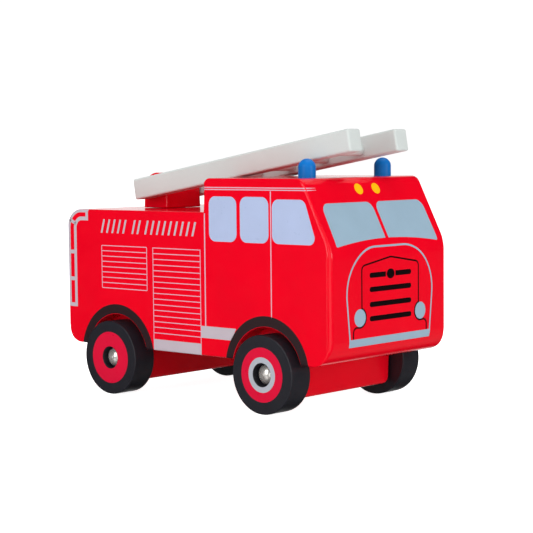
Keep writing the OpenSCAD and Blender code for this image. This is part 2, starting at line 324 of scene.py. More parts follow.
class Shader:
    """A node material under construction."""

    def __init__(self, name):
        self.material = bpy.data.materials.new(name)
        self.material.use_nodes = True
        self.nodes = self.material.node_tree.nodes
        self.links = self.material.node_tree.links
        self.surface = self.nodes["Principled BSDF"]
        self.place = self.add("ShaderNodeTexCoord").outputs["Object"]
        self.last_bump = None

    def add(self, kind, **settings):
        """Adds a node and sets its properties."""
        node = self.nodes.new(kind)
        for key, value in settings.items():
            setattr(node, key, value)
        return node

    def link(self, source, target):
        self.links.new(source, target)

    def noise(self, per_metre, detail=3.0, stretch=(1, 1, 1)):
        """Noise with about per_metre features a metre; stretch scales it along x, y and z."""
        mapping = self.add("ShaderNodeMapping")
        mapping.inputs["Scale"].default_value = stretch
        self.link(self.place, mapping.inputs["Vector"])
        noise = self.add("ShaderNodeTexNoise")
        noise.inputs["Scale"].default_value = per_metre
        noise.inputs["Detail"].default_value = detail
        noise.inputs["Roughness"].default_value = NOISE_ROUGHNESS
        self.link(mapping.outputs["Vector"], noise.inputs["Vector"])
        return noise.outputs["Fac"]

    def between(self, factor, low, high, from_low=0.3, from_high=0.7):
        """Maps a noise factor onto a range of values."""
        ramp = self.add("ShaderNodeMapRange")
        settings = (("From Min", from_low), ("From Max", from_high), ("To Min", low), ("To Max", high))
        for name, value in settings:
            ramp.inputs[name].default_value = value
        self.link(factor, ramp.inputs["Value"])
        return ramp.outputs["Result"]

    def mix(self, factor, first, second):
        """Mixes two colours, each a triple or a socket, by a factor socket."""
        node = self.add("ShaderNodeMix", data_type="RGBA")
        self.link(factor, node.inputs["Factor"])
        for value, socket in ((first, node.inputs[6]), (second, node.inputs[7])):
            if isinstance(value, tuple):
                socket.default_value = (*value, 1)
            else:
                self.link(value, socket)
        return node.outputs[2]

    def bump(self, height, depth_mm):
        """Adds a bump of a depth in millimetres, on top of any earlier one."""
        node = self.add("ShaderNodeBump")
        node.inputs["Distance"].default_value = depth_mm * MM
        self.link(height, node.inputs["Height"])
        if self.last_bump:
            self.link(self.last_bump.outputs["Normal"], node.inputs["Normal"])
        self.last_bump = node
        self.link(node.outputs["Normal"], self.surface.inputs["Normal"])

    def colour(self, socket):
        self.link(socket, self.surface.inputs["Base Color"])

    def rough(self, socket):
        self.link(socket, self.surface.inputs["Roughness"])

    def set(self, values):
        """Sets plain values of the surface, by the names of its inputs."""
        for name, value in values.items():
            self.surface.inputs[name].default_value = value


def scaled(colour, factor):
    """A colour made lighter or darker."""
    return tuple(min(1.0, c * factor) for c in colour)


def painted_wood(name, colour, rough, coat=0.0, grain_mm=0.004, mottle=0.04, specular=0.5):
    """Paint on wood: faint cloudiness, brush-soft peel, and the grain showing through along x."""
    s = Shader(name)
    cloud = s.noise(28, 2.0)
    fleck = s.noise(900, 2.0)
    base = s.mix(s.between(cloud, 0, 1), scaled(colour, 1 - mottle), scaled(colour, 1 + mottle))
    s.colour(s.mix(s.between(fleck, 0, 0.5, 0.62, 0.75), base, scaled(colour, 1 - 3 * mottle)))
    s.rough(s.between(s.noise(160, 3.0), rough * 0.8, rough * 1.25))
    s.bump(s.noise(95, 4.0, (1, 9, 9)), grain_mm)
    s.bump(s.noise(420, 2.0), PEEL_MM)
    s.set({"Coat Weight": coat, "Coat Roughness": COAT_ROUGHNESS, "Specular IOR Level": specular})
    return s.material


def ink(name, colour, rough=0.38, mottle=0.03, specular=0.4):
    """Ink screen-printed on the paint: even, with fine grain and pinholes of a weaker tint."""
    s = Shader(name)
    base = s.mix(s.between(s.noise(60, 3.0), 0, 1), scaled(colour, 1 - mottle), scaled(colour, 1 + mottle))
    speck = s.between(s.noise(2600, 2.0), 0, 0.6, 0.60, 0.72)
    s.colour(s.mix(speck, base, scaled(colour, 1 - 2.5 * mottle)))
    s.rough(s.between(s.noise(300, 2.0), rough * 0.85, rough * 1.2))
    s.bump(s.noise(1500, 2.0), 0.002)
    s.set({"Specular IOR Level": specular})
    return s.material


def metal(name, colour, rough, stretch=(1, 1, 1), brush_mm=0.001, metallic=1.0):
    """Metal with fine working marks drawn out across the stretch."""
    s = Shader(name)
    marks = s.noise(900, 3.0, stretch)
    s.colour(s.mix(s.between(marks, 0, 1), scaled(colour, 0.9), scaled(colour, 1.05)))
    s.rough(s.between(s.noise(350, 2.0, stretch), rough * 0.7, rough * 1.4))
    s.bump(marks, brush_mm)
    s.set({"Metallic": metallic})
    return s.material


def plastic(name, colour, rough):
    """Plain moulded nylon with a faint cloud and fine pitting."""
    s = Shader(name)
    s.colour(s.mix(s.between(s.noise(120, 2.0), 0, 1), scaled(colour, 0.93), scaled(colour, 1.04)))
    s.rough(s.between(s.noise(500, 2.0), rough * 0.9, rough * 1.1))
    s.bump(s.noise(1800, 2.0), 0.003)
    return s.material


MATERIALS = {
    "red_paint": painted_wood("red_paint", (0.755, 0.0003, 0.0122), 0.16, coat=0.4, specular=0.1),
    "black_paint": painted_wood("black_paint", (0.0125, 0.0125, 0.0185), 0.42, grain_mm=0.006, specular=0.4),
    "grey_paint": painted_wood("grey_paint", (0.575, 0.615, 0.60), 0.45, grain_mm=0.012, mottle=0.025),
    "blue_paint": painted_wood("blue_paint", (0.001, 0.15, 0.50), 0.34, specular=0.15),
    "silver_ink": ink("silver_ink", (0.475, 0.415, 0.465), 0.42),
    "stripe_ink": ink("stripe_ink", (0.60, 0.37, 0.47), 0.42, specular=0.2),
    "grey_blue_ink": ink("grey_blue_ink", (0.275, 0.395, 0.495), 0.40),
    "hub_ink": ink("hub_ink", (0.39, 0.42, 0.47), 0.40),
    "window_ink": ink("window_ink", (0.385, 0.46, 0.66), 0.32),
    "arch_ink": ink("arch_ink", (0.022, 0.007, 0.010), 0.42),
    "black_ink": ink("black_ink", (0.005, 0.0015, 0.0025), 0.42, specular=0.1),
    "crimson_ink": ink("crimson_ink", (0.62, 0.0006, 0.032), 0.32, specular=0.15),
    "yellow_ink": ink("yellow_ink", (0.93, 0.46, 0.0004), 0.35, specular=0.1),
    "nickel": metal("nickel", (0.80, 0.77, 0.73), 0.27, brush_mm=0.0001, metallic=0.74),
    "steel": metal("steel", (0.60, 0.59, 0.57), 0.28, (6, 1, 6)),
    "nylon": plastic("nylon", (0.78, 0.76, 0.70), 0.55),
}


# ------------ body, blocks and turret
POST_FOOT_EDGE = 0.8
WELL_R = 6.0
RECESS_R = 8.8
RECESS_GAP = 0.05


def build_body():
    """The five boards of the body. Returns them, for the prints to lie on."""
    red = MATERIALS["red_paint"]
    boards = []
    for side, sign in SIDES.items():
        inner_y, outer_y = sign * CORE_HALF, sign * BODY_HALF
        board = slab(f"{side}_side_board", cheek_rim(), inner_y, outer_y, red, round_from=False)
        boards.append(finish_piece(board, "vehicle", "red_paint", f"{side}_cheek"))
    plain = with_edge(rounded_corners(body_corners()), 0.0)
    for node in ("core_left_board", "core_centre_board", "core_right_board"):
        low, high = box_mm(node)
        board = slab(f"{node}_painted", plain, low.y, high.y, red, round_from=False, round_to=False)
        boards.append(finish_piece(board, "vehicle", "red_paint", node))
    return boards


def build_axle_blocks():
    """The two red bars across the underside that hold the axles. Their upper edges, under the body, stay
    sharp."""
    across = Matrix.Rotation(math.pi / 2, 4, "Z")
    for node in ("front_axle_block", "rear_axle_block"):
        low, high = box_mm(node)
        outline = rounded_corners([
            (low.y, low.z, BLOCK_END_R),
            (high.y, low.z, BLOCK_END_R),
            (high.y, high.z, 0),
            (low.y, high.z, 0),
        ])
        rim = [(point, normal, 0.0 if normal.y > 0.5 else BLOCK_EDGE) for point, normal in outline]
        block = slab(f"{node}_painted", rim, -low.x, -high.x, MATERIALS["red_paint"], place=across)
        finish_piece(block, "vehicle", "red_paint", node)


def cut_round_well(piece, centre, radius, z_low, z_high):
    """Cuts an upright round well or recess out of a piece and applies the cut."""
    profile = [(0, z_low), (radius, z_low), (radius, z_high), (0, z_high)]
    cutter = lathe("cutter", profile, (centre.x, centre.y, 0), (0, 0, 1), MATERIALS["red_paint"], 64)
    cutter.modifiers.clear()
    piece.modifiers.clear()
    cut = piece.modifiers.new("well", "BOOLEAN")
    cut.object = cutter
    cut.operation = "DIFFERENCE"
    cut.solver = "EXACT"
    graph = bpy.context.evaluated_depsgraph_get()
    mesh = bpy.data.meshes.new_from_object(piece.evaluated_get(graph))
    piece.modifiers.clear()
    piece.data = mesh
    mesh.set_sharp_from_angle(angle=math.radians(SHARP_DEG))
    bpy.data.objects.remove(cutter)
    even_normals(piece)


def build_post():
    """The turret post: a block with a half-round top, softened edges that shrink towards its foot, the well
    of its screw and the recess of its friction washer."""
    low, high = box_mm("turret_post")
    half = (high.x - low.x) / 2
    outline = rounded_corners([
        (low.x, low.z, POST_FOOT_EDGE),
        (high.x, low.z, POST_FOOT_EDGE),
        (high.x, high.z, half),
        (low.x, high.z, half),
    ])
    foot_z = low.z + POST_FOOT_EDGE
    rim = [
        (point, normal, min(POST_EDGE, POST_FOOT_EDGE + max(0.0, point.y - foot_z)))
        for point, normal in outline
    ]
    post = slab("turret_post_painted", rim, low.y, high.y, MATERIALS["red_paint"])
    cut_round_well(post, PIVOT, WELL_R, box_mm("turret_screw_washer")[0].z, high.z + WELL_R)
    recess_top = box_mm("turret_washer")[1].z + RECESS_GAP
    cut_round_well(post, PIVOT, RECESS_R, low.z - RECESS_R, recess_top)
    finish_piece(post, "turret", "red_paint", "turret_post")


# ------------ ladder
RAIL_LENGTH = 181.7
RAIL_HEIGHT = 13.2
RAIL_HOLE_LINE = 5.5
RAIL_TAIL = 7.4
RAIL_CORNER_R = 1.4
BAR_CHAMFER = 0.4
RUNGS = [f"rung_{k}" for k in range(1, 6)]


def ladder_place():
    """Matrix from the ladder's own frame, pivot at the origin and rungs along x, to the model's frame."""
    low, high = box_mm(RUNGS[-1])
    along = (low + high) / 2 - PIVOT
    slope = math.atan2(along.z, along.x)
    return Matrix.Translation(PIVOT) @ Matrix.Rotation(-slope, 4, "Y")


def build_ladder():
    """Two rails with softened edges, and the round bars between them."""
    grey = MATERIALS["grey_paint"]
    place = ladder_place()
    x_low, x_high = -RAIL_TAIL, RAIL_LENGTH - RAIL_TAIL
    z_low, z_high = -RAIL_HOLE_LINE, RAIL_HEIGHT - RAIL_HOLE_LINE
    r = RAIL_CORNER_R
    corners = [(x_low, z_low, r), (x_high, z_low, r), (x_high, z_high, r), (x_low, z_high, r)]
    rim = with_edge(rounded_corners(corners), RAIL_EDGE)
    for side in SIDES:
        low, high = box_mm(f"{side}_rail")
        rail = slab(f"{side}_rail_painted", rim, low.y, high.y, grey, place=place)
        finish_piece(rail, "ladder", "grey_paint", f"{side}_rail")
    for node in ["ladder_pivot"] + RUNGS:
        low, high = box_mm(node)
        centre = (low + high) / 2
        radius = (high.z - low.z) / 2
        half = [(radius, high.y - BAR_CHAMFER), (radius - BAR_CHAMFER, high.y), (0, high.y)]
        profile = [(across, -along) for across, along in reversed(half)] + half
        bar = lathe(f"{node}_painted", profile, (centre.x, 0, centre.z), (0, 1, 0), grey, 72)
        finish_piece(bar, "ladder", "grey_paint", node)


# ------------ wheels, caps and lights
WHEEL_EDGE = 0.55
WHEEL_GAP = 0.06
HUB_R = 6.7
HUB_DEPTH = 5.0
HUB_EDGE = 0.35
HUB_FLOOR_EDGE = 0.6
HUB_RIM_R = HUB_R + HUB_EDGE
HUB_RING_R = 10.3
FRONT_RING_R = 15.95
REAR_RING_R = 16.2
CAP_SKIRT = 1.0
CAP_EDGE = 0.3
LIGHT_EDGE = 0.3

# How far ink stands proud of the paint, and how far a film reaches into it
INK_LIFT = 0.05
INK_SINK = 0.05
INK_SHARP_DEG = 50


def ring_print(name, inner_r, outer_r, centre, axis, face, slot, body, look=None):
    """A printed ring on a flat round face. A look names another tint of the slot's ink."""
    profile = [
        (inner_r, face - INK_SINK), (outer_r, face - INK_SINK),
        (outer_r, face + INK_LIFT), (inner_r, face + INK_LIFT),
    ]
    ring = lathe(name, profile, centre, axis, MATERIALS[look or slot], 128, closed=True)
    return finish_piece(ring, body, slot)


def on_axle(node):
    """Centre, outward axis, radius, and inner and outer distance from the middle of a wheel or a cap."""
    low, high = box_mm(node)
    centre = ((low.x + high.x) / 2, 0, (low.z + high.z) / 2)
    inner, outer = sorted((abs(low.y), abs(high.y)))
    return centre, (0, SIDES[node.split("_")[1]], 0), (high.z - low.z) / 2, inner, outer


def build_wheel(wheel):
    """A turned wheel with a recessed hub and its printed rings."""
    node = f"{wheel}_wheel"
    centre, axis, radius, inner, outer = on_axle(node)
    axle_low, axle_high = box_mm(f"{wheel.split('_')[0]}_axle")
    bore = (axle_high.z - axle_low.z) / 2 + WHEEL_GAP
    floor = outer - HUB_DEPTH
    e = WHEEL_EDGE
    profile = [(bore, floor), (bore, inner)]
    profile += arc((radius - e, inner + e), e, -90, 0, 10)
    profile += arc((radius - e, outer - e), e, 0, 90, 10)
    profile += arc((HUB_RIM_R, outer - HUB_EDGE), HUB_EDGE, 90, 180, 6)
    e = HUB_FLOOR_EDGE
    profile += arc((HUB_R - e, floor + e), e, 0, -90, 6)
    tyre = lathe(f"{wheel}_wheel_turned", profile, centre, axis, MATERIALS["black_paint"], 160, closed=True)
    finish_piece(tyre, node, "black_paint", node)
    rim_inner_r, rim_outer_r = HUB_RIM_R, REAR_RING_R
    if wheel.startswith("front"):
        rim_inner_r, rim_outer_r = HUB_RING_R, FRONT_RING_R
        hub_ring = f"{wheel}_hub_ring"
        ring_print(hub_ring, HUB_RIM_R, HUB_RING_R, centre, axis, outer, "grey_blue_ink", node, "hub_ink")
    ring_print(f"{wheel}_rim_ring", rim_inner_r, rim_outer_r, centre, axis, outer, "crimson_ink", node)


def build_cap(wheel):
    """A domed steel cap pushed on the axle's end."""
    node = f"{wheel}_cap"
    centre, axis, rim, base, top = on_axle(node)
    dome = top - base - CAP_SKIRT
    ball = (rim * rim + dome * dome) / (2 * dome)
    spread = math.degrees(math.asin(rim / ball))
    profile = [(0, base), (rim - CAP_EDGE, base), (rim, base + CAP_EDGE)]
    profile += arc((0, top - ball), ball, 90 - spread, 90, 16)
    profile[-1] = (0, top)
    cap = lathe(f"{wheel}_cap_domed", profile, centre, axis, MATERIALS["nickel"], 96, sharp_deg=60)
    finish_piece(cap, "vehicle", "nickel", node)


def build_lights():
    """Two blue dowels with domed tops, standing in the roof."""
    for side in SIDES:
        node = f"{side}_light"
        low, high = box_mm(node)
        centre = ((low.x + high.x) / 2, (low.y + high.y) / 2, 0)
        r = (high.x - low.x) / 2
        profile = [(0, low.z), (r - LIGHT_EDGE, low.z), (r, low.z + LIGHT_EDGE)]
        profile += arc((0, high.z - r), r, 0, 90, 20)
        profile[-1] = (0, high.z)
        light = lathe(f"{side}_light_painted", profile, centre, (0, 0, 1), MATERIALS["blue_paint"], 96)
        finish_piece(light, "vehicle", "blue_paint", node)


def dress_cad_nodes():
    """Gives the CAD nodes that stay their own materials."""
    slots = {row["node"]: row["material_slot"] for row in frame["record"]["subparts"]}
    for name, node in frame["nodes"].items():
        material = MATERIALS[slots[name]]
        if not node.data.materials:
            node.data.materials.append(material)
        for i in range(len(node.data.materials)):
            node.data.materials[i] = material


# ------------ printing on the body
def surface_tree(boards):
    """A search tree over the boards' faces, in millimetres."""
    vertices, faces = [], []
    for board in boards:
        start = len(vertices)
        vertices += [v.co / MM for v in board.data.vertices]
        faces += [tuple(start + i for i in p.vertices) for p in board.data.polygons]
    return BVHTree.FromPolygons(vertices, faces)


def side_ray(side):
    """Where (x, z) lies when looked at square on from one side."""
    sign = SIDES[side]
    return lambda x, z: (Vector((x, sign * 2 * BODY_HALF, z)), Vector((0, -sign, 0)))


def front_ray(y, z):
    """Where (y, z) lies when looked at square on from the front."""
    return Vector((2 * FRONT_X, y, z)), Vector((-1, 0, 0))


def between_paths(first, second):
    """Quads between two paths of equal counts."""
    last = len(first) - 1
    return [[first[i], second[i], second[i + 1], first[i + 1]] for i in range(last)]


def ribbon(points, width):
    """Quads along an open path, width across it, mitred where the path bends."""
    points = [Vector(p) for p in points]
    ways = [(b - a).normalized() for a, b in zip(points, points[1:])]
    normals = [Vector((-way.y, way.x)) for way in ways]
    left, right = [], []
    for point, before, after in zip(points, normals[:1] + normals, normals + normals[-1:]):
        mitre = (before + after) / (1 + before.dot(after))
        left.append(tuple(point + mitre * width / 2))
        right.append(tuple(point - mitre * width / 2))
    return between_paths(left, right)


def rectangle(u_low, u_high, v_low, v_high):
    """A filled upright rectangle."""
    return [(u_low, v_low), (u_high, v_low), (u_high, v_high), (u_low, v_high)]


def upright(u, v_low, v_high, width):
    """An upright line as a rectangle round its middle."""
    return rectangle(u - width / 2, u + width / 2, v_low, v_high)


def level(u_low, u_high, v, width):
    """A level line as a rectangle round its middle."""
    return rectangle(u_low, u_high, v - width / 2, v + width / 2)


def rounded_patch(corners):
    """A filled shape with rounded corners."""
    return [tuple(point) for point, _ in rounded_corners(corners)]


def rounded_rectangle(u_low, u_high, v_low, v_high, low_r, high_r):
    """A filled rectangle with one corner radius at each end."""
    return rounded_patch([
        (u_low, v_low, low_r), (u_high, v_low, high_r), (u_high, v_high, high_r), (u_low, v_high, low_r),
    ])


def ellipse(u, v, half_u, half_v, count=48):
    """A filled ellipse."""
    turns = [math.tau * k / count for k in range(count)]
    return [(u + half_u * math.cos(a), v + half_v * math.sin(a)) for a in turns]


def mirrored(shape):
    """A shape, or a path, on the other side of the middle."""
    return [(-u, v) for u, v in shape]


def steps(low, high, step):
    """Values from low to high, about step apart."""
    count = max(1, round((high - low) / step))
    return [low + (high - low) * k / count for k in range(count + 1)]


def bisect(bm, normal, value, clear_inner=False):
    """Cuts flat shapes along one line, a distance of value along its normal."""
    everything = bm.verts[:] + bm.edges[:] + bm.faces[:]
    at = normal * value
    bmesh.ops.bisect_plane(bm, geom=everything, plane_co=at, plane_no=normal, clear_inner=clear_inner)


def cut_shapes(shapes, u_cuts, v_cuts, v_floor):
    """One flat mesh of all the shapes, cut along lines of constant u and v so that it can bend, and cut off
    below v_floor. Returns its points, its faces and the edges of its rim."""
    bm = bmesh.new()
    for shape in shapes:
        bm.faces.new([bm.verts.new((u, v, 0)) for u, v in shape])
    bmesh.ops.remove_doubles(bm, verts=bm.verts, dist=1e-4)
    for value in u_cuts:
        bisect(bm, Vector((1, 0, 0)), value)
    for value in v_cuts:
        bisect(bm, Vector((0, 1, 0)), value)
    if v_floor is not None:
        bisect(bm, Vector((0, 1, 0)), v_floor, clear_inner=True)
    bm.verts.index_update()
    flat = [(v.co.x, v.co.y) for v in bm.verts]
    faces = [tuple(v.index for v in f.verts) for f in bm.faces]
    bm.free()
    edges = {}
    for face in faces:
        for a, b in zip(face, face[1:] + face[:1]):
            edges.setdefault(frozenset((a, b)), []).append((a, b))
    rim = [pairs[0] for pairs in edges.values() if len(pairs) == 1]
    return flat, faces, rim


def ink_film(name, shapes, ray, slot, look=None, u_cuts=(), v_cuts=(), v_floor=None):
    """A thin closed layer of ink laid on the body where each shape falls. A look names another tint of the
    slot's ink."""
    flat, faces, rim = cut_shapes(shapes, u_cuts, v_cuts, v_floor)
    top, under = [], []
    for u, v in flat:
        start, way = ray(u, v)
        place, normal, _, _ = SURFACE.ray_cast(start, way)
        if place is None:
            raise ValueError(f"{name}: ({u:.1f}, {v:.1f}) misses the body")
        top.append(place + normal * INK_LIFT)
        under.append(place - normal * INK_SINK)
    count = len(flat)
    solid = list(faces)
    solid += [tuple(i + count for i in reversed(face)) for face in faces]
    solid += [(b, a, a + count, b + count) for a, b in rim]
    film = make_object(name, top + under, solid, MATERIALS[look or slot], INK_SHARP_DEG)
    film.modifiers.clear()
    return finish_piece(film, "vehicle", slot)


# Spacing of the cuts where a print runs onto a rounding, and how far prints stay above the lower edge
EDGE_CUT = 0.5
BOTTOM_CUTS = steps(BOTTOM_Z, BOTTOM_Z + BOTTOM_EDGE, 0.2)
PRINT_BOTTOM_Z = BOTTOM_Z + 0.05

# Bands round the arches. The outer circle of the front one stands a little higher than its inner one.
BAND_INNER_R = ARCH_R + ARCH_EDGE + 0.05
FRONT_BAND_R = 32.65
FRONT_BAND_RISE = 0.9
REAR_BAND_R = 33.3

# Shutters on the side as left, right, low and high, and the broad bands below and beside the front one
SHUTTER_LINE = 0.5
REAR_SHUTTER, REAR_SLATS = (-77.6, -36.4, 66.4, 93.2), 8
FRONT_SHUTTER, FRONT_SLATS = (-30.9, 9.9, 40.7, 93.1), 15
SILL_BAND_TOP = 36.8
DOOR_BAND_LOW, DOOR_BAND_HIGH = 40.5, 47.7
DOOR_BAND_ENDS = (35.0, 38.8)

# Upright lines and roof stripes of the cab
CAB_LINE_X, CAB_LINE_WIDTH = 13.85, 0.9
DOOR_LINE_X, DOOR_LINE_WIDTH, DOOR_LINE_TOP = 66.9, 0.7, 128.8
STRIPE_HEIGHTS, STRIPE_WIDTH = (130.65, 129.45), 0.6
STRIPE_TIP_LENGTH = 8.5
STRIPE_INSET = TOP_EDGE * 0.42

# Side windows: two that are alike, and the front one as corners of x, z and radius
WINDOW_STARTS, WINDOW_LENGTH = (17.6, 42.8), 22.4
WINDOW_LOW, WINDOW_HIGH, WINDOW_R = 98.7, 125.4, 5.0
FRONT_WINDOW = ((67.9, 98.7, 5.0), (101.6, 98.7, 4.0), (92.4, 124.2, 5.0), (67.9, 124.2, 5.0))

# The small ladder drawn at the rear corner: its foot, its end on the deck, its lines and its rungs
PIPE_FOOT, PIPE_END_X, PIPE_WIDTH = 54.1, -90.2, 2.4
PIPE_EDGE_INSET, PIPE_DECK_INSET = 1.0, 0.15
PIPE_OUTER_X, PIPE_OUTER_Z, PIPE_OUTER_R = REAR_X + 3.8, DECK_Z - 2.0, 10
PIPE_INNER_X, PIPE_INNER_Z, PIPE_INNER_R = -102.7, 109.9, 6
PIPE_RUNGS = (PIPE_FOOT, 70.9, 88.3)
PIPE_BRACE_OUTER_Z, PIPE_BRACE_INNER_Z = 109.0, 106.6
PIPE_BEND = 14

# Slanted dashes along the upper side, as rows of start, end and count
DASH_ROWS = ((-77.0, -57.0, 5), (-48.6, -44.0, 2), (-37.0, 4.0, 9))
DASH_LOW, DASH_HIGH, DASH_STROKE, DASH_LEAN = 101.2, 109.8, 1.6, 2.6

# The front, as y and z
ARCH_FOOT, ARCH_LINE = (37.6, 44.4), 1.1
ARCH_TOP_MIDDLE, ARCH_TOP_R, ARCH_TOP_START = (13.2, 69.5), 27, -6.2
BUMPER = ((-37.9, 40.0), (37.9, 40.0), (38.25, 44.5), (-38.25, 44.5))
HEADLIGHT, HEADLIGHT_R = (28.5, 56.45), 5.1
RADIATOR_LINE = 0.95
BAR_END, BAR_HALF = 19.6, 1.5
BAR_R = BAR_HALF * 0.98
BAR_HEIGHTS, TOP_BAR_HEIGHT = (72.05, 63.4, 55.2), 80.2
TOP_BAR_START, TOP_BAR_START_R = 4.5, 0.3

# Filled ellipses on the front: y and z of the middle, then half their width and height
EMBLEM = (0, TOP_BAR_HEIGHT, 3.7, 2.9)
ROOF_LAMP = (8.0, 129.3, 3.5, 3.1)

# One pane of the windscreen
PANE_INNER_Y, PANE_OUTER_Y, PANE_TOP = 1.45, 47.3, 121.8
PANE_INNER_LOW, PANE_OUTER_LOW = 101.0, 97.4


def print_arch_bands(side):
    """The black bands round the wheel arches, down to the lower edge of the body."""
    bands = (("front", FRONT_ARCH, FRONT_BAND_R, FRONT_BAND_RISE), ("rear", REAR_ARCH, REAR_BAND_R, 0.0))
    for end, middle, outer_r, rise in bands:
        inner = arc((middle.x, middle.z), BAND_INNER_R, 5, 175, 96)
        outer = arc((middle.x, middle.z + rise), outer_r, 5, 175, 96)
        ink_film(
            f"{side}_{end}_arch_band", between_paths(inner, outer), side_ray(side),
            "black_ink", "arch_ink", v_cuts=BOTTOM_CUTS, v_floor=PRINT_BOTTOM_Z,
        )


def shutter_lines(left, right, low, high, slats, foot, top):
    """A shutter's two upright lines, from foot to top, and the lines between its slats."""
    line = SHUTTER_LINE
    pitch = (high - low) / slats
    shapes = [upright(x, foot, top, line) for x in (left, right)]
    return shapes + [
        level(left + line / 2, right - line / 2, low + k * pitch, line) for k in range(slats + 1)
    ]


def print_shutters(side):
    """Two slatted shutters drawn in line, and the broad bands below and beside the front one."""
    ray = side_ray(side)
    left, right, low, high = REAR_SHUTTER
    shapes = shutter_lines(left, right, low, high, REAR_SLATS, low, high)
    ink_film(f"{side}_rear_shutter", shapes, ray, "silver_ink", "stripe_ink")
    left, right, low, high = FRONT_SHUTTER
    edge = SHUTTER_LINE / 2
    shapes = shutter_lines(left, right, low, high, FRONT_SLATS, SILL_BAND_TOP, high + edge)
    ink_film(f"{side}_front_shutter", shapes, ray, "silver_ink", "stripe_ink")
    sill = rectangle(left - edge, right + edge, PRINT_BOTTOM_Z, SILL_BAND_TOP)
    ink_film(f"{side}_sill_band", [sill], ray, "silver_ink", v_cuts=BOTTOM_CUTS)
    start, (low_end, high_end) = right + edge, DOOR_BAND_ENDS
    low, high = DOOR_BAND_LOW, DOOR_BAND_HIGH
    band = [(start, low), (low_end, low), (high_end, high), (start, high)]
    ink_film(f"{side}_door_band", [band], ray, "silver_ink")


def print_upright_lines(side):
    """The line behind the cab, up to the deck's rounding, and the line down the door to the arch band."""
    arch_top = FRONT_ARCH.z + math.sqrt(FRONT_BAND_R ** 2 - (DOOR_LINE_X - FRONT_ARCH.x) ** 2)
    shapes = [
        upright(CAB_LINE_X, DOOR_BAND_HIGH, DECK_Z - 0.5, CAB_LINE_WIDTH),
        upright(DOOR_LINE_X, arch_top + 0.05, DOOR_LINE_TOP, DOOR_LINE_WIDTH),
    ]
    ink_film(
        f"{side}_upright_lines", shapes, side_ray(side), "silver_ink", "stripe_ink",
        v_cuts=steps(DECK_Z - BODY_EDGE - 1.0, DECK_Z, EDGE_CUT),
    )


def print_roof_stripes(side):
    """The pair of stripes under the roof. On the right side they run on round the windscreen's edge and end
    in points."""
    half = STRIPE_WIDTH / 2
    for k, z in enumerate(STRIPE_HEIGHTS):
        name = f"{side}_roof_stripe_{k + 1}"
        start = CAB_REAR_X + 0.6
        end = FRONT_X - SCREEN_LEAN * (z - CREASE_Z) / SCREEN_DROP - STRIPE_INSET
        cuts = steps(start, start + BODY_EDGE, EDGE_CUT) + steps(end - BODY_EDGE * 1.2, end, EDGE_CUT)
        stripe = level(start, end, z, STRIPE_WIDTH)
        ink_film(name, [stripe], side_ray(side), "silver_ink", "stripe_ink", u_cuts=cuts)
        if side == "left":
            continue
        y_start, y_end = STRIPE_INSET - BODY_HALF, STRIPE_TIP_LENGTH - BODY_HALF
        tip = [(y_start, z - half), (y_start, z + half), (y_end, z + half / 4), (y_end, z - half / 4)]
        cuts = steps(y_start, y_end, EDGE_CUT)
        ink_film(f"{name}_tip", [tip], front_ray, "silver_ink", "stripe_ink", u_cuts=cuts)


def print_side_windows(side):
    """Three side windows, the front one cut back along the windscreen."""
    low, high, r = WINDOW_LOW, WINDOW_HIGH, WINDOW_R
    shapes = [rounded_rectangle(x, x + WINDOW_LENGTH, low, high, r, r) for x in WINDOW_STARTS]
    shapes.append(rounded_patch(FRONT_WINDOW))
    ink_film(f"{side}_window_prints", shapes, side_ray(side), "window_ink")


def pipe_edge_path(foot):
    """The outer edge of the pipe print, which comes out to the body's own edge as it bends over the top."""
    bends = 18
    spread = PIPE_EDGE_INSET - PIPE_DECK_INSET
    path = [(REAR_X + PIPE_EDGE_INSET, foot)]
    for k, (x, z) in enumerate(arc((0, 0), 1, 180, 90, bends)):
        reach = TAIL_TOP_R - PIPE_EDGE_INSET + spread * k / bends
        path.append((REAR_X + TAIL_TOP_R + x * reach, DECK_Z - TAIL_TOP_R + z * reach))
    return path + [(PIPE_END_X, DECK_Z - PIPE_DECK_INSET)]


def pipe_path(foot, x, z, radius, count):
    """An upright line that bends over into a level one and ends on the deck."""
    bend = arc((x + radius, z - radius), radius, 180, 90, count)
    return [(x, foot)] + bend + [(PIPE_END_X, z)]


def print_rear_pipes(side):
    """The small ladder drawn up the rear corner and bent over its top. Its outer rail runs onto the
    rounding."""
    width = PIPE_WIDTH
    foot = PIPE_FOOT - width / 2
    outer_path = pipe_path(foot, PIPE_OUTER_X, PIPE_OUTER_Z, PIPE_OUTER_R, 18)
    inner_path = pipe_path(foot, PIPE_INNER_X, PIPE_INNER_Z, PIPE_INNER_R, 14)
    shapes = between_paths(pipe_edge_path(foot), outer_path) + ribbon(inner_path, width)
    shapes += [level(PIPE_OUTER_X, PIPE_INNER_X - width / 2, z, width) for z in PIPE_RUNGS]
    shapes.append(rectangle(PIPE_END_X - width, PIPE_END_X, PIPE_INNER_Z + width / 2, PIPE_OUTER_Z))
    brace = [(PIPE_OUTER_X - 0.4, PIPE_BRACE_OUTER_Z), (PIPE_INNER_X + 0.4, PIPE_BRACE_INNER_Z)]
    shapes += ribbon(brace, width * 0.9)
    u_cuts = steps(REAR_X, REAR_X + PIPE_BEND, EDGE_CUT)
    v_cuts = steps(DECK_Z - PIPE_BEND, DECK_Z, EDGE_CUT)
    ink_film(f"{side}_pipe_print", shapes, side_ray(side), "silver_ink", u_cuts=u_cuts, v_cuts=v_cuts)


